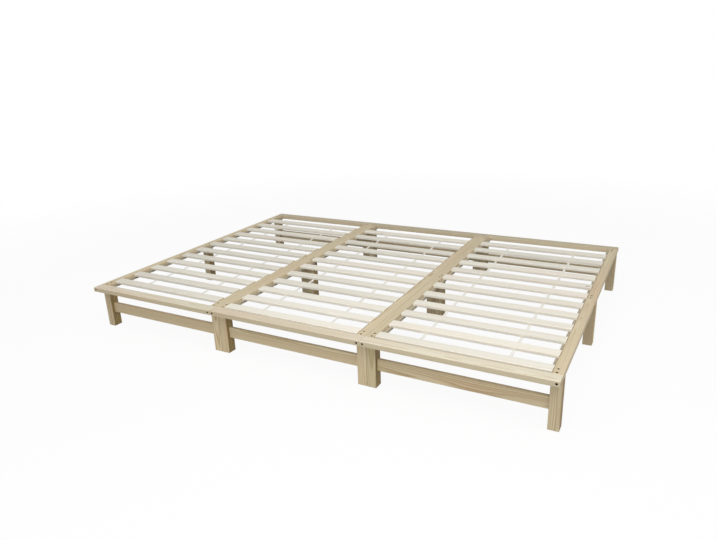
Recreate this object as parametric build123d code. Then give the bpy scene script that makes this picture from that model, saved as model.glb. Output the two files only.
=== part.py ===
from build123d import *
import os

# A set of three identical low bed frames of pale pine. They stack into a triple bunk, and here
# they stand side by side on the floor, as a row. X runs across the row, Y along each bed with
# the front board at -Y, and Z is up. The origin is on the floor, at the middle of the row.
# All sizes are in millimetres.

# One bed
mattress_width = 900.0
mattress_length = 2000.0
border_at_sides = 27.5
border_at_ends = 30.0
bed_width = mattress_width + 2 * border_at_sides
bed_length = mattress_length + 2 * border_at_ends
rail_top = 286.0
timber_thickness = 28.0
timber_width = 48.0
gap_between_beds = 1.0

# Front and back boards
end_board_width = 65.0
end_board_nose_radius = 4.0

# Legs: two layers of timber glued face to face, one behind the other, level with the bed's side
leg_height = rail_top - timber_thickness
leg_width = 52.0
leg_centre_from_end = 95.0

# Stretchers, which join the two front legs and the two back legs, midway through their thickness
stretcher_height = 65.0
stretcher_thickness = 18.0
stretcher_bottom = 93.0

# Ledges, which are screwed inside the side rails and carry the slats
ledge_width = 18.0
ledge_height = 16.0

# Roll-up slatted base
slat_count = 12
slat_width = 62.0
slat_thickness = 16.0
slat_end_clearance = 1.5
strap_offset = 222.0
strap_width = 15.0
strap_thickness = 1.2
strap_sag = 3.0

# Sunk socket-head screws and bolts
head_radius = 5.6
head_height = 5.0
shank_radius = 2.9
socket_radius = 2.9
socket_depth = 3.0
sinking = 8.0
counterbore_radius = 6.0
hole_radius = 3.0
hole_spare_length = 2.0
leg_screw_from_side = 31.0
leg_screw_spacing = 34.0
leg_screw_shank = 47.0
corner_bolt_from_side = 16.0
corner_bolt_shank = 97.0

# Countersunk ledge screws, and the dowels between stretchers and legs
ledge_screw_places = (-850.0, -510.0, -170.0, 170.0, 510.0, 850.0)
ledge_screw_length = 38.0
ledge_screw_radius = 1.9
ledge_screw_head_radius = 3.8
ledge_screw_head_height = 2.4
ledge_hole_clearance = 0.1
dowel_radius = 4.0
dowel_length = 50.0
dowel_heights = (109.0, 142.0)
dowel_hole_radius = 4.05

# Rounding of sawn edges
timber_easing = 1.5
slat_easing = 2.5
end_grain_easing = 1.2

# Each bed's place in the row, and how its own slatted base lies on the ledges
beds = {
    "left_bed": {"place": -1, "first_slat_gap": 63.0, "slat_pitch": 150.5},
    "middle_bed": {"place": 0, "first_slat_gap": 7.0, "slat_pitch": 154.5},
    "right_bed": {"place": 1, "first_slat_gap": 10.0, "slat_pitch": 155.0},
}
sides = {"left": -1, "right": 1}
ends = {"front": -1, "back": 1}

# Places worked out from the sizes above, measured from one bed's own middle
half_width = bed_width / 2
half_length = bed_length / 2
timber_middle = rail_top - timber_thickness / 2
rail_inner_face = half_width - timber_width
rail_length = bed_length - 2 * end_board_width
leg_middle_x = half_width - leg_width / 2
leg_inner_face = half_width - leg_width
end_leg_y = half_length - leg_centre_from_end
stretcher_middle_z = stretcher_bottom + stretcher_height / 2
ledge_inner_face = rail_inner_face - ledge_width
ledge_top = leg_height + ledge_height
slat_length = 2 * (rail_inner_face - slat_end_clearance)
leg_rows = {"front": -end_leg_y, "middle": 0.0, "back": end_leg_y}


def eased_block(size_x, size_y, size_z, easing):
    """A block of timber with its twelve edges slightly rounded."""
    block = Box(size_x, size_y, size_z)
    return fillet(block.edges(), easing)


def sunk_screw(shank_length):
    """A socket-head screw that points down, sunk below a surface at height 0."""
    head_middle = -sinking - head_height / 2
    shank_middle = -sinking - head_height - shank_length / 2
    head = Pos(0, 0, head_middle) * Cylinder(head_radius, head_height)
    shank = Pos(0, 0, shank_middle) * Cylinder(shank_radius, shank_length)
    socket_outline = Pos(0, 0, -sinking) * RegularPolygon(socket_radius, 6)
    socket = extrude(socket_outline, amount=-socket_depth)
    return head + shank - socket


def sunk_screw_hole(shank_length):
    """The counterbore and shank hole that a sunk screw of this length needs."""
    counterbore_depth = sinking + head_height
    hole_length = shank_length + hole_spare_length
    counterbore = Pos(0, 0, -counterbore_depth / 2) * Cylinder(counterbore_radius, counterbore_depth)
    hole = Pos(0, 0, -counterbore_depth - hole_length / 2) * Cylinder(hole_radius, hole_length)
    return counterbore + hole


def countersunk_screw(clearance=0.0):
    """A countersunk screw that points down from height 0, or with a clearance the hole for it."""
    head = Pos(0, 0, -ledge_screw_head_height / 2) * Cone(
        ledge_screw_radius + clearance, ledge_screw_head_radius + clearance, ledge_screw_head_height
    )
    shank_length = ledge_screw_length - ledge_screw_head_height
    shank_middle = -ledge_screw_head_height - shank_length / 2
    shank = Pos(0, 0, shank_middle) * Cylinder(ledge_screw_radius + clearance, shank_length + 2 * clearance)
    return head + shank


def at_leg_screws(shape, side, leg_y):
    """Copies of a downward shape at the two screw places over one leg."""
    x = side * (half_width - leg_screw_from_side)
    spots = [leg_y - leg_screw_spacing / 2, leg_y + leg_screw_spacing / 2]
    return [Pos(x, y, rail_top) * shape for y in spots]


def at_corner_bolt(shape, side, end):
    """A downward shape turned to run inwards from the face of one end board."""
    x = side * (half_width - corner_bolt_from_side)
    return Pos(x, end * half_length, timber_middle) * Rot(-90 * end, 0, 0) * shape


def at_ledge_screws(shape, side):
    """Copies of a downward shape turned to run outwards from the inner face of one ledge."""
    turned = Rot(0, -90 * side, 0) * shape
    z = leg_height + ledge_height / 2
    return [Pos(side * ledge_inner_face, y, z) * turned for y in ledge_screw_places]


def at_dowels(radius, side, end):
    """Cylinders that cross from one end of a stretcher into its leg."""
    lying = Rot(0, 90, 0) * Cylinder(radius, dowel_length)
    return [Pos(side * leg_inner_face, end * end_leg_y, z) * lying for z in dowel_heights]


def side_rail(side):
    """A side rail with its holes for leg screws, corner bolts and ledge screws."""
    rail = eased_block(timber_width, rail_length, timber_thickness, timber_easing)
    rail = Pos(side * (half_width - timber_width / 2), 0, timber_middle) * rail
    for leg_y in leg_rows.values():
        rail -= at_leg_screws(sunk_screw_hole(leg_screw_shank), side, leg_y)
    for end in ends.values():
        rail -= at_corner_bolt(sunk_screw_hole(corner_bolt_shank), side, end)
    return rail - at_ledge_screws(countersunk_screw(ledge_hole_clearance), side)


def end_board(end):
    """The front or back board, with a rounded upper outer edge and a bolt hole at each corner."""

    def towards_nose(corner):
        return corner.X * end + corner.Y

    section = Rectangle(end_board_width, timber_thickness)
    plain_corners = section.vertices().sort_by(towards_nose)[:3]
    section = fillet(plain_corners, timber_easing)
    nose_corner = section.vertices().sort_by(towards_nose)[-1]
    section = fillet(nose_corner, end_board_nose_radius)
    board = extrude(Plane.YZ * section, amount=half_width, both=True)
    end_faces = board.faces().sort_by(Axis.X)
    board = fillet(end_faces[0].edges() + end_faces[-1].edges(), end_grain_easing)
    board = Pos(0, end * (half_length - end_board_width / 2), timber_middle) * board
    for side in sides.values():
        board -= at_corner_bolt(sunk_screw_hole(corner_bolt_shank), side, end)
    return board


def ledge(side):
    """The strip inside a side rail that the slats rest on."""
    strip = eased_block(ledge_width, rail_length, ledge_height, end_grain_easing)
    strip = Pos(side * (rail_inner_face - ledge_width / 2), 0, leg_height + ledge_height / 2) * strip
    return strip - at_ledge_screws(countersunk_screw(ledge_hole_clearance), side)


def leg(side, row):
    """One leg: an outer and an inner layer, drilled for the screws and for the stretcher's dowels."""
    layer = eased_block(leg_width, timber_thickness, leg_height, timber_easing)
    leg_y = leg_rows[row]
    layers = []
    for step in (-1, 1):
        y = leg_y + step * timber_thickness / 2
        piece = Pos(side * leg_middle_x, y, leg_height / 2) * layer
        piece -= at_leg_screws(sunk_screw_hole(leg_screw_shank), side, leg_y)
        if row in ends:
            piece -= at_dowels(dowel_hole_radius, side, ends[row])
        layers.append(piece.solid())
    return Compound(layers)


def stretcher(end):
    """The board between two front or two back legs, midway through their thickness."""
    board = eased_block(2 * leg_inner_face, stretcher_thickness, stretcher_height, timber_easing)
    board = Pos(0, end * end_leg_y, stretcher_middle_z) * board
    for side in sides.values():
        board -= at_dowels(dowel_hole_radius, side, end)
    return board


def slat_middles(bed):
    """The y of each slat's middle in one bed."""
    first = -half_length + end_board_width + bed["first_slat_gap"] + slat_width / 2
    return [first + number * bed["slat_pitch"] for number in range(slat_count)]


def slats(bed):
    """The slats of one bed, lying on its ledges."""
    slat = eased_block(slat_length, slat_width, slat_thickness, slat_easing)
    z = ledge_top + slat_thickness / 2
    return Compound([(Pos(0, y, z) * slat).solid() for y in slat_middles(bed)])


def strap_line(bed, z):
    """The side view of a strap's surface: flat under each slat, sagging a little in each gap."""
    middles = slat_middles(bed)
    flat = slat_width / 2 - slat_easing
    pieces = []
    for y, next_y in zip(middles, middles[1:]):
        pieces.append(Line((y - flat, z), (y + flat, z)))
        gap_middle = (y + next_y) / 2
        pieces.append(ThreePointArc((y + flat, z), (gap_middle, z - strap_sag), (next_y - flat, z)))
    pieces.append(Line((middles[-1] - flat, z), (middles[-1] + flat, z)))
    return pieces


def straps(bed):
    """The two woven straps that run under the slats and keep them at their spacing."""
    middles = slat_middles(bed)
    flat = slat_width / 2 - slat_easing
    low = ledge_top - strap_thickness
    near = Line((middles[0] - flat, low), (middles[0] - flat, ledge_top))
    far = Line((middles[-1] + flat, low), (middles[-1] + flat, ledge_top))
    outline = make_face(Curve() + strap_line(bed, ledge_top) + strap_line(bed, low) + [near, far])
    strap = extrude(Plane.YZ * outline, amount=strap_width / 2, both=True)
    return Compound([(Pos(side * strap_offset, 0, 0) * strap).solid() for side in sides.values()])


def leg_screws():
    """The twelve screws that go down through the side rails into the legs."""
    screws = []
    for side in sides.values():
        for leg_y in leg_rows.values():
            screws += at_leg_screws(sunk_screw(leg_screw_shank), side, leg_y)
    return Compound([screw.solid() for screw in screws])


def corner_bolts():
    """The four bolts that go through the end boards into the ends of the side rails."""
    bolt = sunk_screw(corner_bolt_shank)
    bolts = [at_corner_bolt(bolt, side, end) for side in sides.values() for end in ends.values()]
    return Compound([item.solid() for item in bolts])


def ledge_screws():
    """The screws that hold both ledges to the side rails."""
    screws = at_ledge_screws(countersunk_screw(), sides["left"])
    screws += at_ledge_screws(countersunk_screw(), sides["right"])
    return Compound([screw.solid() for screw in screws])


def dowels():
    """The dowels that hold the stretchers between the legs."""
    pegs = []
    for side in sides.values():
        for end in ends.values():
            pegs += at_dowels(dowel_radius, side, end)
    return Compound([peg.solid() for peg in pegs])


def bed_pieces(bed):
    """Every sub-part of one bed by name, around the bed's own middle."""
    pieces = {}
    for name, side in sides.items():
        pieces[name + "_rail"] = side_rail(side)
        pieces[name + "_ledge"] = ledge(side)
        for row in leg_rows:
            pieces[row + "_" + name + "_leg"] = leg(side, row)
    for name, end in ends.items():
        pieces[name + "_board"] = end_board(end)
        pieces[name + "_stretcher"] = stretcher(end)
    pieces["slats"] = slats(bed)
    pieces["straps"] = straps(bed)
    pieces["leg_screws"] = leg_screws()
    pieces["corner_bolts"] = corner_bolts()
    pieces["ledge_screws"] = ledge_screws()
    pieces["dowels"] = dowels()
    return pieces


os.makedirs("parts", exist_ok=True)
for bed_name, bed in beds.items():
    bed_x = bed["place"] * (bed_width + gap_between_beds)
    for piece_name, piece in bed_pieces(bed).items():
        export_step(Pos(bed_x, 0, 0) * piece, "parts/" + bed_name + "_" + piece_name + ".step")
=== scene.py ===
import logging
import math
from dataclasses import dataclass, replace
from enum import Enum
from typing import Any

import bmesh
import bpy
from mathutils import Euler, Matrix, Vector


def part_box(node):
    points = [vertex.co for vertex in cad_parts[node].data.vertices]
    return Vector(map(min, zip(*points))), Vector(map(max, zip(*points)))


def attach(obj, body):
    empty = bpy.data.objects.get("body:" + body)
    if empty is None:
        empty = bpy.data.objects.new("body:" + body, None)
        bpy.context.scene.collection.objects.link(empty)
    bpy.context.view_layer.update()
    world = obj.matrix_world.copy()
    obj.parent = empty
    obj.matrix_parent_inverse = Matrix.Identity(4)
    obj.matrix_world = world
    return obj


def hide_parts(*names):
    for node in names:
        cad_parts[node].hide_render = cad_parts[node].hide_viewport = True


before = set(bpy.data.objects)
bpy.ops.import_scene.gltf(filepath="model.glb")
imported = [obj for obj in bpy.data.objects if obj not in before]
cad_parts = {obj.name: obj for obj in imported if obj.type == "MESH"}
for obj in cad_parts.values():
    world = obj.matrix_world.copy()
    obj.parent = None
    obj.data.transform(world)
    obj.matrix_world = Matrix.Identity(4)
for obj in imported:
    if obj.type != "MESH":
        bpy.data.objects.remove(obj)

# The looks of a row of three stackable pine bed frames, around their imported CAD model.
# Lengths are in metres, in the frame's own axes: X runs across the row, Y along the beds
# with the front boards at -Y, and Z is up.

LOG = logging.getLogger("bed_row")
BEDS = ("left_bed", "middle_bed", "right_bed")
SIDES = ("left", "right")
ROWS = ("front", "middle", "back")
# Legs whose sides get painted light instead of the legs' painted shade, where light falls on them.
LEGS_WITH_PAINTED_LIGHT_SIDES = ("right_bed_middle_right_leg", "right_bed_back_right_leg")

Colour = tuple[float, float, float]
Place = tuple[float, float, float]
WHITE: Colour = (1.0, 1.0, 1.0)


def from_display(red: int, green: int, blue: int) -> Colour:
    """Turn a colour as a screen shows it, 0 to 255, into the linear colour that a shader takes.

    Args:
        red: Red, from 0 to 255.
        green: Green, from 0 to 255.
        blue: Blue, from 0 to 255.

    Returns:
        The same colour as three linear numbers from 0 to 1.
    """
    linear = []
    for channel in (red, green, blue):
        share = channel / 255
        linear.append(share / 12.92 if share <= 0.04045 else ((share + 0.055) / 1.055) ** 2.4)
    return linear[0], linear[1], linear[2]


class Axis(Enum):
    """One of the frame's axes, by its place in a vector."""

    X = 0
    Y = 1
    Z = 2


class Wire:
    """A number that flows between shader nodes, with Python's operators as Math nodes."""

    def __init__(self, recipe: "Recipe", socket: bpy.types.NodeSocket) -> None:
        """Wrap one output socket of a recipe's node tree."""
        self.recipe = recipe
        self.socket = socket

    def __add__(self, other: "Wire | float") -> "Wire":
        """Add."""
        return self.recipe.maths("ADD", self, other)

    __radd__ = __add__

    def __sub__(self, other: "Wire | float") -> "Wire":
        """Subtract."""
        return self.recipe.maths("SUBTRACT", self, other)

    def __rsub__(self, other: float) -> "Wire":
        """Subtract this wire from a number."""
        return self.recipe.maths("SUBTRACT", other, self)

    def __mul__(self, other: "Wire | float") -> "Wire":
        """Multiply."""
        return self.recipe.maths("MULTIPLY", self, other)

    __rmul__ = __mul__

    def __truediv__(self, other: "Wire | float") -> "Wire":
        """Divide."""
        return self.recipe.maths("DIVIDE", self, other)

    def __abs__(self) -> "Wire":
        """Drop the sign."""
        return self.recipe.maths("ABSOLUTE", self)

    def root(self) -> "Wire":
        """Take the square root."""
        return self.recipe.maths("SQRT", self)

    def fraction(self) -> "Wire":
        """Keep what is past the whole number."""
        return self.recipe.maths("FRACT", self)

    def rounded(self) -> "Wire":
        """Go to the nearest whole number."""
        return self.recipe.maths("ROUND", self)


class Recipe:
    """One material's node tree, and the few ways in which this script adds to it."""

    def __init__(self, name: str) -> None:
        """Start a material with one Principled shader."""
        self.material = bpy.data.materials.new(name)
        self.material.use_nodes = True
        self.tree = self.material.node_tree
        self.tree.nodes.clear()
        self.surface = self.node("ShaderNodeBsdfPrincipled")
        self.output = self.node("ShaderNodeOutputMaterial")
        self.tree.links.new(self.surface.outputs["BSDF"], self.output.inputs["Surface"])
        self.place = self.node("ShaderNodeTexCoord")

    def node(
        self,
        kind: str,
        settings: dict[str, Any] | None = None,
        inputs: dict[str | int, Any] | None = None,
    ) -> bpy.types.Node:
        """Add a node, set its settings and then its sockets.

        Args:
            kind: The node's type name.
            settings: Attributes of the node, set first.
            inputs: A value, wire or socket for each named or numbered input.

        Returns:
            The new node.
        """
        made = self.tree.nodes.new(kind)
        for key, value in (settings or {}).items():
            setattr(made, key, value)
        for key, value in (inputs or {}).items():
            self.feed(made.inputs[key], value)
        return made

    def feed(self, socket: bpy.types.NodeSocket, value: Any) -> None:
        """Give a socket a wire, another socket, a colour or a number."""
        if isinstance(value, Wire):
            self.tree.links.new(value.socket, socket)
        elif isinstance(value, bpy.types.NodeSocket):
            self.tree.links.new(value, socket)
        elif isinstance(value, tuple) and socket.type == "RGBA":
            socket.default_value = (*value, 1.0)
        else:
            socket.default_value = value

    def maths(self, operation: str, *values: "Wire | float") -> Wire:
        """Add one Math node and return its result."""
        inputs = dict(enumerate(values))
        made = self.node("ShaderNodeMath", {"operation": operation}, inputs)
        return Wire(self, made.outputs[0])

    def ramp(self, value: Wire, low: float, high: float) -> Wire:
        """Rise smoothly from 0 where the value is low to 1 where it is high."""
        made = self.node(
            "ShaderNodeMapRange",
            {"interpolation_type": "SMOOTHSTEP"},
            {"Value": value, "From Min": low, "From Max": high, "To Min": 0.0, "To Max": 1.0},
        )
        return Wire(self, made.outputs[0])

    def vector(self, x: Any, y: Any, z: Any) -> bpy.types.NodeSocket:
        """Join three wires or numbers into a vector."""
        return self.node("ShaderNodeCombineXYZ", None, {"X": x, "Y": y, "Z": z}).outputs[0]

    def split(self, socket: bpy.types.NodeSocket) -> list[Wire]:
        """Split a vector into its three wires."""
        made = self.node("ShaderNodeSeparateXYZ", None, {"Vector": socket})
        return [Wire(self, output) for output in made.outputs]

    def noise(self, place: bpy.types.NodeSocket, detail: float = 2.0, roughness: float = 0.5) -> Wire:
        """Add a smooth noise that varies once over each unit of a vector."""
        inputs = {"Vector": place, "Scale": 1.0, "Detail": detail, "Roughness": roughness}
        return Wire(self, self.node("ShaderNodeTexNoise", None, inputs).outputs[0])

    def blend(
        self, share: "Wire | float", first: Any, second: Any, how: str = "MIX"
    ) -> bpy.types.NodeSocket:
        """Mix two colours.

        Args:
            share: How much of the second colour, from 0 to 1.
            first: The first colour.
            second: The second colour.
            how: The blend type.

        Returns:
            The mixed colour's socket.
        """
        settings = {"data_type": "RGBA", "blend_type": how}
        return self.node("ShaderNodeMix", settings, {0: share, 6: first, 7: second}).outputs[2]

    def tint(self, share: "Wire | float", colour: Any, tint: Any) -> bpy.types.NodeSocket:
        """Multiply a colour by a share of a tint."""
        return self.blend(share, colour, tint, "MULTIPLY")

    def emboss(self, height: Wire, depth: float, strength: float) -> None:
        """Let a height, from 0 to 1, press a relief of this depth in metres into the surface."""
        inputs = {"Height": height, "Distance": depth, "Strength": strength}
        self.feed(self.surface.inputs["Normal"], self.node("ShaderNodeBump", None, inputs).outputs[0])


@dataclass(frozen=True)
class Lie:
    """How the boards of one node lie, and where they repeat."""

    length: Axis
    width: Axis
    thickness: Axis
    centre: Vector
    repeats: Axis | None = None
    pitch: float = 1.0
    half: Vector | None = None


@dataclass(frozen=True)
class GrainMarks:
    """What the grain does at a point of a board, each mark from 0 to 1."""

    late_wood: Wire
    streak: Wire
    fibre: Wire
    cloud: Wire
    knot: Wire
    tone: Wire


@dataclass(frozen=True)
class PineFinish:
    """Planed, unfinished pine with growth rings, streaks, knots and end grain, with painted shade or light
    on chosen faces and painted shade in screw holes.
    """

    early_wood: Colour
    late_wood: Colour
    warm_streak: Colour
    cool_streak: Colour
    knot: Colour = from_display(122, 84, 50)
    end_grain: Colour = from_display(222, 205, 180)
    # Painted shade and light: multiply the faces across the board's width and across its thickness, by how
    # light falls on them.
    edge_painted_shading: Colour = WHITE
    flat_painted_shading: Colour = WHITE
    # Painted shade: the colour that darkens the walls of screw holes and other recesses, where shade falls.
    bore_painted_shade: Colour = from_display(72, 54, 36)
    ring_spacing: float = 0.0042
    ring_strength: float = 0.5
    tone_spread: float = 0.10
    knot_radius: float = 0.0075
    knot_cell_length: float = 0.42
    knot_cell_width: float = 0.16
    relief: float = 0.00035
    pith_depth: float = 0.022
    pith_shift_across: float = 0.09
    pith_shift_through: float = 0.06
    pith_wander: float = 0.05
    ring_wobble: float = 0.005
    ring_unevenness: float = 2.4
    knot_push: float = 0.006
    warm_share: float = 0.6
    cool_share: float = 0.55
    rose_share: float = 0.8
    rose_tint: Colour = (1.03, 0.965, 0.955)
    fibre_spread: float = 0.10
    knot_share: float = 0.85
    roughness: float = 0.66
    face_turn: tuple[float, float] = (0.7, 0.95)
    # How deep below the outer faces the painted shade in holes begins and is full, in metres.
    bore_shade_depths: tuple[float, float] = (0.0008, 0.0022)

    def material(self, name: str, lie: Lie, seed: float) -> bpy.types.Material:
        """Make the material for one node's boards.

        Args:
            name: The material's name.
            lie: How the boards lie.
            seed: A number of the node's own, so that no two nodes look alike.

        Returns:
            The material.
        """
        recipe = Recipe(name)
        marks = self.grain_marks(recipe, lie, seed)
        colour = self.tint_end_grain_and_paint_shading(recipe, lie, self.wood_colour(recipe, marks))
        roughness = self.roughness + (marks.fibre - 0.5) * 0.2 - marks.late_wood * 0.1
        recipe.feed(recipe.surface.inputs["Base Color"], colour)
        recipe.feed(recipe.surface.inputs["Roughness"], roughness)
        recipe.emboss(marks.fibre * 0.6 + marks.late_wood * 0.4 - marks.knot * 0.5, self.relief, 0.5)
        return recipe.material

    def grain_marks(self, recipe: Recipe, lie: Lie, seed: float) -> GrainMarks:
        """Grow the rings around a pith beside the board, and lay streaks, fibres and knots over them."""
        along, across, through, own = self.board_place(recipe, lie, seed)
        chance = recipe.node("ShaderNodeTexWhiteNoise", {"noise_dimensions": "1D"}, {"W": own})
        first, second, third = recipe.split(chance.outputs["Color"])

        def grain(length_scale: float, cross_scale: float, detail: float = 2.0) -> Wire:
            place = recipe.vector(
                along * length_scale + first * 37.0,
                across * cross_scale + second * 41.0,
                through * cross_scale + third * 43.0,
            )
            return recipe.noise(place, detail)

        knot_distance = self.knot_distance(recipe, along, across, through, own)
        knot = 1.0 - recipe.ramp(knot_distance, 0.6 * self.knot_radius, self.knot_radius)
        knot_pull = 1.0 - recipe.ramp(knot_distance, 0.8 * self.knot_radius, 3.2 * self.knot_radius)

        wander = (grain(0.7, 0.0) - 0.5) * self.pith_wander
        side = across - (first - 0.5) * self.pith_shift_across
        depth = through + second * self.pith_shift_through + self.pith_depth + wander
        pith_distance = (side * side + depth * depth).root()
        wobble = (grain(2.6, 22.0) - 0.5) * self.ring_wobble
        pith_distance = pith_distance + wobble + knot_pull * self.knot_push
        ring_place = recipe.vector(pith_distance * 60.0, own, along * 0.3)
        phase = pith_distance / self.ring_spacing + recipe.noise(ring_place) * self.ring_unevenness
        turn = phase.fraction()
        late_wood = recipe.ramp(turn, 0.35, 0.93) * (1.0 - recipe.ramp(turn, 0.94, 1.0))
        streak_place = recipe.vector(along * 0.45, pith_distance * 85.0, own * 3.1)
        return GrainMarks(
            late_wood=late_wood * (0.35 + 0.9 * grain(1.1, 30.0)),
            streak=recipe.noise(streak_place, 2.5),
            fibre=grain(16.0, 900.0, 1.0),
            cloud=grain(1.6, 9.0),
            knot=knot,
            tone=third,
        )

    def wood_colour(self, recipe: Recipe, marks: GrainMarks) -> bpy.types.NodeSocket:
        """Mix the board's colour from its grain marks."""
        colour = recipe.blend(marks.late_wood * self.ring_strength, self.early_wood, self.late_wood)
        warm = recipe.ramp(marks.streak, 0.5, 0.72)
        colour = recipe.blend(warm * self.warm_share, colour, self.warm_streak)
        cool = 1.0 - recipe.ramp(marks.streak, 0.28, 0.46)
        colour = recipe.blend(cool * self.cool_share, colour, self.cool_streak)
        rose = recipe.ramp(marks.cloud, 0.5, 0.75)
        colour = recipe.tint(rose * self.rose_share, colour, self.rose_tint)
        board_tone = (marks.tone - 0.5) * self.tone_spread
        brightness = 1.0 + board_tone + (marks.fibre - 0.5) * self.fibre_spread
        colour = recipe.tint(1.0, colour, recipe.vector(brightness, brightness, brightness))
        return recipe.blend(marks.knot * self.knot_share, colour, self.knot)

    def tint_end_grain_and_paint_shading(self, recipe: Recipe, lie: Lie, colour: bpy.types.NodeSocket) -> bpy.types.NodeSocket:
        """Tint the end grain its own colour, paint shade or light on the edges and flat faces, and paint
        shade on the walls of screw holes.
        """
        normal = recipe.split(recipe.place.outputs["Normal"])
        # The end grain's tint is its own colour; the edge and flat tints are painted shade and light.
        for axis, tint in (
            (lie.length, self.end_grain),
            (lie.width, self.edge_painted_shading),
            (lie.thickness, self.flat_painted_shading),
        ):
            facing = recipe.ramp(abs(normal[axis.value]), *self.face_turn)
            colour = recipe.tint(facing, colour, tint)
        # Painted shade on the walls of screw holes and other recesses.
        if lie.half is not None:
            colour = recipe.tint(self.inside_board(recipe, lie), colour, self.bore_painted_shade)
        return colour

    def board_place(self, recipe: Recipe, lie: Lie, seed: float) -> tuple[Wire, Wire, Wire, Wire]:
        """Find where a point is on its own board.

        Args:
            recipe: The material being made.
            lie: How the boards lie.
            seed: The node's own number.

        Returns:
            The distances from the board's middle along, across and through it, and a number
            that each board has to itself.
        """
        places = recipe.split(recipe.place.outputs["Object"])
        local = [place - centre for place, centre in zip(places, lie.centre)]
        own = recipe.maths("ADD", seed, 0.0)
        if lie.repeats is not None:
            spot = lie.repeats.value
            number = (local[spot] / lie.pitch).rounded()
            local[spot] = local[spot] - number * lie.pitch
            own = number * 1.618 + seed
        return local[lie.length.value], local[lie.width.value], local[lie.thickness.value], own

    def inside_board(self, recipe: Recipe, lie: Lie) -> Wire:
        """Rise from 0 on the board's outer faces to 1 on the walls of its screw holes, where the painted
        shade goes.
        """
        places = recipe.split(recipe.place.outputs["Object"])
        depths = []
        for place, centre, half in zip(places, lie.centre, lie.half):
            depths.append(half - abs(place - centre))
        shallow = recipe.maths("MINIMUM", depths[0], recipe.maths("MINIMUM", depths[1], depths[2]))
        return recipe.ramp(shallow, *self.bore_shade_depths)

    def knot_distance(self, recipe: Recipe, along: Wire, across: Wire, through: Wire, own: Wire) -> Wire:
        """Measure the distance to the nearest knot's middle, in metres."""
        place = recipe.vector(
            along / self.knot_cell_length + own * 0.37,
            across / self.knot_cell_width + own * 0.73,
            through / self.knot_cell_width,
        )
        cells = recipe.node("ShaderNodeTexVoronoi", None, {"Vector": place, "Scale": 1.0})
        return Wire(recipe, cells.outputs["Distance"]) * self.knot_cell_width


@dataclass(frozen=True)
class SteelFinish:
    """Plated steel that has gone dull, with fine scratches."""

    colour: Colour
    roughness: float = 0.42
    scratch_scale: float = 900.0

    def material(self, name: str) -> bpy.types.Material:
        """Make the material."""
        recipe = Recipe(name)
        x, y, z = recipe.split(recipe.place.outputs["Object"])
        scratches = recipe.noise(
            recipe.vector(x * self.scratch_scale, y * self.scratch_scale * 0.2, z * self.scratch_scale), 3.0
        )
        spots = recipe.noise(recipe.vector(x * 240.0, y * 240.0, z * 240.0), 2.0)
        dull = tuple(0.55 * channel for channel in self.colour)
        colour = recipe.blend(recipe.ramp(spots, 0.45, 0.7), self.colour, dull)
        recipe.feed(recipe.surface.inputs["Base Color"], colour)
        recipe.surface.inputs["Metallic"].default_value = 0.9
        recipe.feed(recipe.surface.inputs["Roughness"], self.roughness + (scratches - 0.5) * 0.3)
        recipe.emboss(scratches, 0.00005, 0.4)
        return recipe.material


@dataclass(frozen=True)
class TapeFinish:
    """Plain woven tape of undyed yarn."""

    yarn: Colour
    shadow: Colour
    yarn_width: float = 0.0011

    def material(self, name: str) -> bpy.types.Material:
        """Make the material, with its weave worked out from the place on the tape."""
        recipe = Recipe(name)
        x, y, z = recipe.split(recipe.place.outputs["Object"])
        warp = recipe.maths("SINE", x * (2 * math.pi / self.yarn_width))
        weft = recipe.maths("SINE", y * (2 * math.pi / self.yarn_width))
        weave = 0.5 + 0.5 * warp * weft
        fuzz = recipe.noise(recipe.vector(x * 1500.0, y * 1500.0, z * 1500.0), 2.0)
        soil = recipe.noise(recipe.vector(x * 40.0, y * 12.0, z * 40.0), 2.0)
        colour = recipe.blend(weave * 0.7 + fuzz * 0.3, self.shadow, self.yarn)
        colour = recipe.blend(recipe.ramp(soil, 0.5, 0.8) * 0.25, colour, self.shadow)
        recipe.feed(recipe.surface.inputs["Base Color"], colour)
        recipe.feed(recipe.surface.inputs["Roughness"], 0.85 + (fuzz - 0.5) * 0.2)
        recipe.surface.inputs["Sheen Weight"].default_value = 0.2
        recipe.emboss(weave, 0.0003, 0.6)
        return recipe.material


FRAME_PINE = PineFinish(
    early_wood=from_display(214, 200, 168),
    late_wood=from_display(176, 148, 106),
    warm_streak=from_display(205, 182, 150),
    cool_streak=from_display(196, 188, 150),
)
FRONT_BOARD_PINE = PineFinish(
    early_wood=from_display(224, 216, 194),
    late_wood=from_display(190, 166, 128),
    warm_streak=from_display(216, 198, 172),
    cool_streak=from_display(208, 202, 174),
    # Painted shade: darkens the board's faces that look along Y, its front face among them.
    edge_painted_shading=(0.79, 0.76, 0.68),
)
BACK_BOARD_PINE = PineFinish(
    early_wood=from_display(218, 206, 176),
    late_wood=from_display(180, 152, 112),
    warm_streak=from_display(208, 186, 154),
    cool_streak=from_display(198, 190, 154),
    # Painted shade: darkens the top and bottom faces, as the weaker light at the back of the row.
    flat_painted_shading=(0.8, 0.8, 0.8),
)
# Painted shade: the ledges' colours are darkened and greyed as the shade under the slat ends.
SHADE_DARKENED_LEDGE_PINE = PineFinish(
    early_wood=from_display(186, 176, 154),
    late_wood=from_display(152, 134, 106),
    warm_streak=from_display(178, 160, 136),
    cool_streak=from_display(168, 162, 136),
)
LEG_PINE = PineFinish(
    early_wood=from_display(216, 202, 168),
    late_wood=from_display(166, 134, 88),
    warm_streak=from_display(200, 170, 132),
    cool_streak=from_display(186, 174, 126),
    # Painted shade: darkens the legs' sides that face across X, as the shade falling on them under the
    # beds.
    edge_painted_shading=from_display(190, 176, 140),
    ring_strength=0.8,
    tone_spread=0.16,
)
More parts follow.
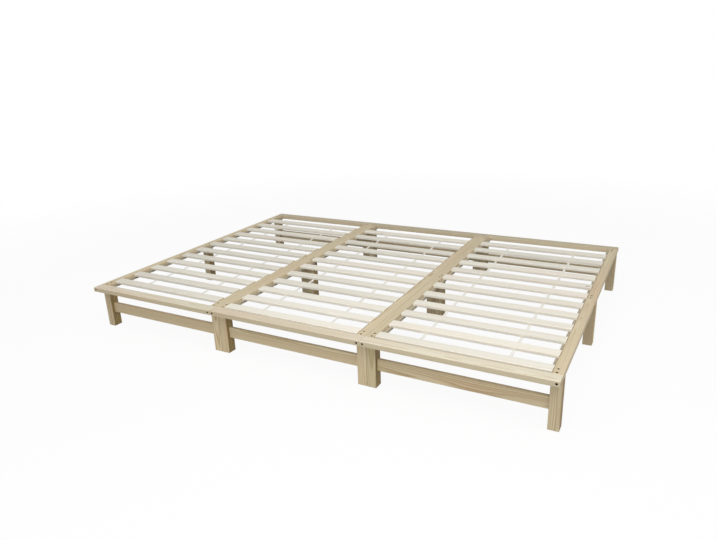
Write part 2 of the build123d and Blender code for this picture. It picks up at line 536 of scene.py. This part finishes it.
# A lit copy of the leg finish: painted light on the sides of the legs that catch the light.
LEG_PINE_PAINTED_LIGHT_SIDES = replace(LEG_PINE, edge_painted_shading=from_display(248, 240, 200))
STRETCHER_PINE = PineFinish(
    early_wood=from_display(218, 203, 168),
    late_wood=from_display(168, 136, 90),
    warm_streak=from_display(202, 172, 134),
    cool_streak=from_display(188, 176, 130),
    knot=from_display(150, 112, 72),
    ring_strength=0.75,
)
SLAT_PINE = PineFinish(
    early_wood=from_display(241, 237, 224),
    late_wood=from_display(210, 196, 168),
    warm_streak=from_display(235, 225, 208),
    cool_streak=from_display(228, 227, 213),
    ring_strength=0.35,
)
BEECH = PineFinish(
    early_wood=from_display(214, 184, 146),
    late_wood=from_display(188, 150, 112),
    warm_streak=from_display(208, 172, 134),
    cool_streak=from_display(206, 178, 142),
    ring_strength=0.2,
)
DARK_STEEL = SteelFinish(colour=from_display(30, 28, 26), roughness=0.6)
ZINC_STEEL = SteelFinish(colour=from_display(176, 172, 160), roughness=0.35)
COTTON_TAPE = TapeFinish(yarn=from_display(251, 249, 244), shadow=from_display(222, 217, 206))


def node_middle(node: str) -> Vector:
    """Find the middle of a CAD node's box."""
    low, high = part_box(node)
    return (low + high) / 2


def dress_node(node: str, material: bpy.types.Material) -> None:
    """Give a CAD node its finish in every material slot, and log it."""
    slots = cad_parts[node].material_slots
    for slot in slots:
        slot.material = material
    if not slots:
        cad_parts[node].data.materials.append(material)
    LOG.info("dressed %s in %s", node, material.name)


def new_piece(name: str, shape: bmesh.types.BMesh, material: bpy.types.Material) -> bpy.types.Object:
    """Turn a finished bmesh into a piece of the object.

    Args:
        name: The piece's name.
        shape: Its shape, in place in the frame.
        material: Its finish.

    Returns:
        The new object, which stands at the origin.
    """
    mesh = bpy.data.meshes.new(name)
    shape.to_mesh(mesh)
    shape.free()
    mesh.materials.append(material)
    piece = bpy.data.objects.new(name, mesh)
    bpy.context.scene.collection.objects.link(piece)
    LOG.info("made %s with %d faces", name, len(mesh.polygons))
    return piece


@dataclass
class BedFrame:
    """The timber of one bed: rails, end boards, ledges, legs and stretchers."""

    bed: str
    seed: float
    layer_thickness: float = 0.028
    seed_step: float = 3.7

    def dress(self) -> None:
        """Give each board a finish that runs along its own grain."""
        number = 0
        for piece, axes, finish in self.boards():
            node = self.bed + "_" + piece
            number += 1
            low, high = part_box(node)
            lie = Lie(*axes, centre=(low + high) / 2, half=(high - low) / 2)
            seed = self.seed + self.seed_step * number
            dress_node(node, finish.material(node, lie, seed))
        for row in ROWS:
            for side in SIDES:
                number += 1
                seed = self.seed + self.seed_step * number
                self.dress_leg(row + "_" + side + "_leg", seed)

    def boards(self) -> list[tuple[str, tuple[Axis, Axis, Axis], PineFinish]]:
        """List the single boards with the axes of their length, width and thickness."""
        found = []
        for side in SIDES:
            found.append((side + "_rail", (Axis.Y, Axis.X, Axis.Z), FRAME_PINE))
            # The ledges' finish holds painted shade.
            found.append((side + "_ledge", (Axis.Y, Axis.X, Axis.Z), SHADE_DARKENED_LEDGE_PINE))
        for end, board_finish in (("front", FRONT_BOARD_PINE), ("back", BACK_BOARD_PINE)):
            found.append((end + "_board", (Axis.X, Axis.Y, Axis.Z), board_finish))
            found.append((end + "_stretcher", (Axis.X, Axis.Z, Axis.Y), STRETCHER_PINE))
        return found

    def dress_leg(self, piece: str, seed: float) -> None:
        """Give the two layers of a leg each its own grain."""
        node = self.bed + "_" + piece
        first_layer = node_middle(node) - Vector((0.0, self.layer_thickness / 2, 0.0))
        lie = Lie(Axis.Z, Axis.X, Axis.Y, first_layer, Axis.Y, self.layer_thickness)
        # The legs that catch the light get painted light on their sides; the others get painted shade.
        finish = LEG_PINE_PAINTED_LIGHT_SIDES if node in LEGS_WITH_PAINTED_LIGHT_SIDES else LEG_PINE
        dress_node(node, finish.material(node, lie, seed))


@dataclass
class SlattedBase:
    """One roll-up base: twelve slats, two woven straps and the staples that hold them."""

    bed: str
    seed: float
    slat_count: int = 12
    slat_width: float = 0.062
    strap_width: float = 0.015
    strap_thickness: float = 0.0012
    strap_sag: float = 0.003
    strap_cuts: int = 8
    steps_for_each_slat: int = 16
    staple_width: float = 0.010
    staple_wire: float = 0.0011
    staple_turn: float = 0.12

    def __post_init__(self) -> None:
        """Read the slats' places from the CAD frame."""
        low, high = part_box(self.bed + "_slats")
        self.underside = low.z
        self.first_middle = low.y + self.slat_width / 2
        self.last_middle = high.y - self.slat_width / 2
        self.pitch = (self.last_middle - self.first_middle) / (self.slat_count - 1)
        self.middle_x = (low.x + high.x) / 2
        strap_low, strap_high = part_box(self.bed + "_straps")
        self.strap_offset = (strap_high.x - strap_low.x - self.strap_width) / 2
        self.strap_start = strap_low.y
        self.strap_end = strap_high.y

    def dress(self) -> None:
        """Dress the slats and make what lies under them."""
        low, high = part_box(self.bed + "_slats")
        centre = Vector((self.middle_x, self.first_middle, (low.z + high.z) / 2))
        lie = Lie(Axis.X, Axis.Y, Axis.Z, centre, Axis.Y, self.pitch)
        dress_node(self.bed + "_slats", SLAT_PINE.material(self.bed + "_slats", lie, self.seed))
        tape = COTTON_TAPE.material(self.bed + "_tape")
        for side, way in (("left", -1), ("right", 1)):
            self.make_strap(side, way, tape)
        self.make_staples()

    def sag_at(self, y: float) -> float:
        """Say how far a strap hangs below the slats' undersides at this y."""
        from_slat = (y - self.first_middle) / self.pitch
        share = (from_slat - math.floor(from_slat)) * self.pitch
        gap_start = self.slat_width / 2
        gap_end = self.pitch - self.slat_width / 2
        if share <= gap_start or share >= gap_end:
            return 0.0
        across_gap = (share - gap_start) / (gap_end - gap_start)
        return self.strap_sag * 4 * across_gap * (1 - across_gap)

    def make_strap(self, side: str, way: int, tape: bpy.types.Material) -> None:
        """Make one strap as a thin woven tape that follows the slats' undersides.

        Args:
            side: Which strap, left or right.
            way: The side of the bed's middle, -1 or 1.
            tape: Its finish.
        """
        length = self.strap_end - self.strap_start
        shape = bmesh.new()
        steps = self.slat_count * self.steps_for_each_slat
        bmesh.ops.create_grid(shape, x_segments=self.strap_cuts, y_segments=steps, size=0.5)
        bmesh.ops.scale(shape, vec=(self.strap_width, length, 1.0), verts=shape.verts)
        middle_y = (self.strap_start + self.strap_end) / 2
        middle = Vector((self.middle_x + way * self.strap_offset, middle_y, 0.0))
        bmesh.ops.translate(shape, vec=middle, verts=shape.verts)
        top = self.underside - self.strap_thickness / 2
        for vert in shape.verts:
            vert.co.z = top - self.sag_at(vert.co.y)
        name = f"{self.bed}_{side}_strap"
        piece = new_piece(name, shape, tape)
        wall = piece.modifiers.new("wall", "SOLIDIFY")
        wall.thickness = self.strap_thickness * 0.95
        wall.offset = 0.0
        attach(piece, self.bed + "_slatted_base")
        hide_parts(self.bed + "_straps")
        flat = (self.strap_width, self.flat_length())

    def flat_length(self) -> float:
        """Work out a strap's length laid flat, with its shallow sags straightened."""
        gap = self.pitch - self.slat_width
        extra = 8 * self.strap_sag**2 / (3 * gap)
        return self.strap_end - self.strap_start + extra * (self.slat_count - 1)

    def make_staples(self) -> None:
        """Make the staples that hold each strap to each slat, seen only from below."""
        shape = bmesh.new()
        crown_size = (self.staple_width, self.staple_wire, self.staple_wire)
        crown_z = self.underside - self.strap_thickness - self.staple_wire * 0.3
        for way in (-1, 1):
            for number in range(self.slat_count):
                crown = bmesh.ops.create_cube(shape, size=1.0)["verts"]
                bmesh.ops.scale(shape, vec=crown_size, verts=crown)
                angle = self.staple_turn * math.sin(5.0 * number + way)
                bmesh.ops.rotate(shape, matrix=Matrix.Rotation(angle, 3, "Z"), verts=crown)
                crown_x = self.middle_x + way * self.strap_offset
                crown_y = self.first_middle + number * self.pitch
                bmesh.ops.translate(shape, vec=Vector((crown_x, crown_y, crown_z)), verts=crown)
        bmesh.ops.bevel(
            shape, geom=shape.edges[:], offset=self.staple_wire * 0.3, segments=2, profile=0.5,
            affect="EDGES", material=-1,
        )
        piece = new_piece(self.bed + "_staples", shape, ZINC_STEEL.material(self.bed + "_staple_wire"))
        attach(piece, self.bed + "_slatted_base")


@dataclass
class Fastenings:
    """One bed's screws, bolts and dowels."""

    bed: str
    seed: float

    def dress(self) -> None:
        """Give the screws and bolts their plating, and the dowels their grain."""
        for piece in ("leg_screws", "corner_bolts"):
            node = self.bed + "_" + piece
            dress_node(node, DARK_STEEL.material(node))
        node = self.bed + "_ledge_screws"
        dress_node(node, ZINC_STEEL.material(node))
        node = self.bed + "_dowels"
        lie = Lie(Axis.X, Axis.Y, Axis.Z, node_middle(node))
        dress_node(node, BEECH.material(node, lie, self.seed))


@dataclass
class Studio:
    """The pale floor, the soft lights and the camera."""

    floor_half_size: float = 40.0
    floor_paper: Colour = (0.9, 0.9, 0.9)
    floor_bounce: Colour = (0.33, 0.32, 0.31)
    shadow_share: float = 0.08
    shadow_fades_from: float = 2.6
    shadow_fades_to: float = 6.0
    sky_strength: float = 0.5
    key_power: float = 62.0
    key_size: float = 2.6
    key_place: Place = (1.3, -2.3, 3.2)
    side_power: float = 30.0
    side_size: float = 3.0
    side_place: Place = (5.0, -1.0, 2.4)
    fill_power: float = 75.0
    fill_size: float = 3.0
    fill_place: Place = (0.6, -6.0, 1.1)
    lamps_face: Place = (0.0, 0.0, 0.2)
    camera_place: Place = (1.786, -3.3681, 1.582)
    camera_heading: float = 29.031
    camera_pitch: float = 19.097
    camera_roll: float = -2.2145
    camera_lens: float = 30.358
    camera_sensor: float = 36.0

    def build(self) -> None:
        """Make everything around the object."""
        self.make_floor()
        self.make_sky()
        self.make_lamp("key_light", self.key_place, self.key_size, self.key_power)
        self.make_lamp("side_light", self.side_place, self.side_size, self.side_power)
        self.make_lamp("fill_light", self.fill_place, self.fill_size, self.fill_power)
        self.make_camera()

    def make_floor(self) -> None:
        """Make a white floor that keeps a light share of the object's shadow."""
        shape = bmesh.new()
        bmesh.ops.create_grid(shape, x_segments=1, y_segments=1, size=self.floor_half_size)
        mesh = bpy.data.meshes.new("floor")
        shape.to_mesh(mesh)
        shape.free()
        recipe = Recipe("floor_paper")
        path = recipe.node("ShaderNodeLightPath")
        camera_ray = Wire(recipe, path.outputs["Is Camera Ray"])
        glossy_ray = Wire(recipe, path.outputs["Is Glossy Ray"])
        seen = recipe.maths("MAXIMUM", camera_ray, glossy_ray)
        x, y, _ = recipe.split(recipe.place.outputs["Object"])
        distance = (x * x + y * y).root()
        near = 1.0 - recipe.ramp(distance, self.shadow_fades_from, self.shadow_fades_to)
        paper = recipe.blend(seen, self.floor_bounce, self.floor_paper)
        recipe.feed(recipe.surface.inputs["Base Color"], paper)
        recipe.surface.inputs["Roughness"].default_value = 0.9
        recipe.surface.inputs["Specular IOR Level"].default_value = 0.1
        glow = recipe.node("ShaderNodeEmission", None, {"Color": WHITE, "Strength": 1.0})
        glowing = seen * (1.0 - near * self.shadow_share)
        mixed = recipe.node("ShaderNodeMixShader", None, {0: glowing})
        recipe.tree.links.new(recipe.surface.outputs["BSDF"], mixed.inputs[1])
        recipe.tree.links.new(glow.outputs["Emission"], mixed.inputs[2])
        recipe.tree.links.new(mixed.outputs["Shader"], recipe.output.inputs["Surface"])
        mesh.materials.append(recipe.material)
        floor = bpy.data.objects.new("floor", mesh)
        bpy.context.scene.collection.objects.link(floor)

    def make_sky(self) -> None:
        """Make a plain sky that lights softly and looks white to the camera."""
        world = bpy.data.worlds.new("studio")
        world.use_nodes = True
        tree = world.node_tree
        tree.nodes.clear()
        path = tree.nodes.new("ShaderNodeLightPath")
        seen = tree.nodes.new("ShaderNodeMath")
        seen.operation = "MAXIMUM"
        strength = tree.nodes.new("ShaderNodeMix")
        strength.data_type = "FLOAT"
        strength.inputs[2].default_value = self.sky_strength
        strength.inputs[3].default_value = 1.0
        background = tree.nodes.new("ShaderNodeBackground")
        background.inputs["Color"].default_value = (*WHITE, 1.0)
        output = tree.nodes.new("ShaderNodeOutputWorld")
        tree.links.new(path.outputs["Is Camera Ray"], seen.inputs[0])
        tree.links.new(path.outputs["Is Glossy Ray"], seen.inputs[1])
        tree.links.new(seen.outputs[0], strength.inputs[0])
        tree.links.new(strength.outputs[0], background.inputs["Strength"])
        tree.links.new(background.outputs["Background"], output.inputs["Surface"])
        bpy.context.scene.world = world

    def make_lamp(self, name: str, place: Place, size: float, power: float) -> None:
        """Make a square soft light that faces the middle of the row.

        Args:
            name: The light's name.
            place: Where it hangs.
            size: The length of its side.
            power: Its power in watts.
        """
        data = bpy.data.lights.new(name, "AREA")
        data.shape = "SQUARE"
        data.size = size
        data.energy = power
        lamp = bpy.data.objects.new(name, data)
        lamp.location = place
        towards = Vector(self.lamps_face) - Vector(place)
        lamp.rotation_euler = towards.to_track_quat("-Z", "Y").to_euler()
        bpy.context.scene.collection.objects.link(lamp)

    def make_camera(self) -> None:
        """Set up the camera where the photograph was taken from."""
        data = bpy.data.cameras.new("camera")
        data.sensor_fit = "HORIZONTAL"
        data.sensor_width = self.camera_sensor
        data.lens = self.camera_lens
        camera = bpy.data.objects.new("camera", data)
        pitch = math.radians(90.0 - self.camera_pitch)
        tilt = Euler((pitch, 0.0, math.radians(self.camera_heading)))
        roll = Matrix.Rotation(math.radians(self.camera_roll), 3, "Z")
        camera.rotation_euler = (tilt.to_matrix() @ roll).to_euler()
        camera.location = self.camera_place
        bpy.context.scene.collection.objects.link(camera)
        bpy.context.scene.camera = camera


def main() -> None:
    """Dress the three beds and set up the studio around them."""
    logging.basicConfig(level=logging.INFO, format="%(message)s")
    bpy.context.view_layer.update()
    bpy.context.scene.view_settings.view_transform = "Standard"
    for number, bed in enumerate(BEDS):
        seed = 11.0 + 101.3 * number
        BedFrame(bed, seed).dress()
        SlattedBase(bed, seed + 61.7).dress()
        Fastenings(bed, seed + 83.1).dress()
    Studio().build()


if __name__ == "__main__":
    main()
